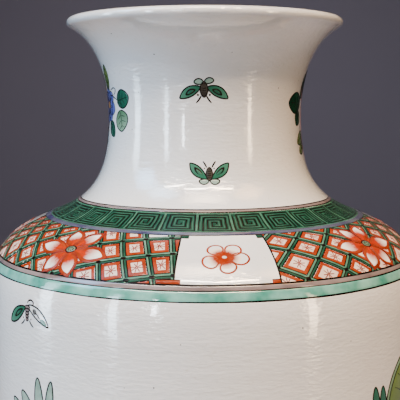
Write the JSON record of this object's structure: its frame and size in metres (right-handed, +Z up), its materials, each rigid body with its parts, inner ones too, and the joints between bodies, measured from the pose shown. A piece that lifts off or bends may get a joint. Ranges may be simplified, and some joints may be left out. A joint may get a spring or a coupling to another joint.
{
  "type": "porcelain vase",
  "caption": "Tall porcelain vase with an everted rounded mouth, waisted neck, broad shoulder and tapering body on a foot ring, painted in enamels.",
  "frame": {"origin": "centre of the face that the foot ring stands on", "axes": "+Z up along the vase's axis; -Y faces the front, with the white reserved panel"},
  "size_m": [0.2102, 0.2102, 0.449],
  "materials": {
    "glazed_porcelain": "clear glossy glaze over white porcelain, faintly grey, with pinholes and iron specks",
    "biscuit": "bare fired clay, fine grained, matt, slightly browned",
    "luting_slip": "fired slip at the joints, under the glaze",
    "enamel_green": "transparent copper green enamel, laid thick",
    "enamel_turquoise": "pale blue-green enamel",
    "enamel_iron_red": "thin iron red, washed out to white",
    "enamel_aubergine": "pale aubergine enamel",
    "enamel_blue": "overglaze blue enamel",
    "enamel_yellow": "amber yellow enamel",
    "enamel_black": "brown-black brush outline"
  },
  "bodies": {
    "root": {"foot_ring": "biscuit", "foot_luting_slip": "luting_slip", "base_floor": "glazed_porcelain", "lower_body": "glazed_porcelain", "belly_luting_slip": "luting_slip", "upper_body": "glazed_porcelain", "shoulder_luting_slip": "luting_slip", "shoulder": "glazed_porcelain", "neck_luting_slip": "luting_slip", "neck": "glazed_porcelain", "mouth_luting_slip": "luting_slip", "mouth_rim": "glazed_porcelain"}
  },
  "joints": []
}
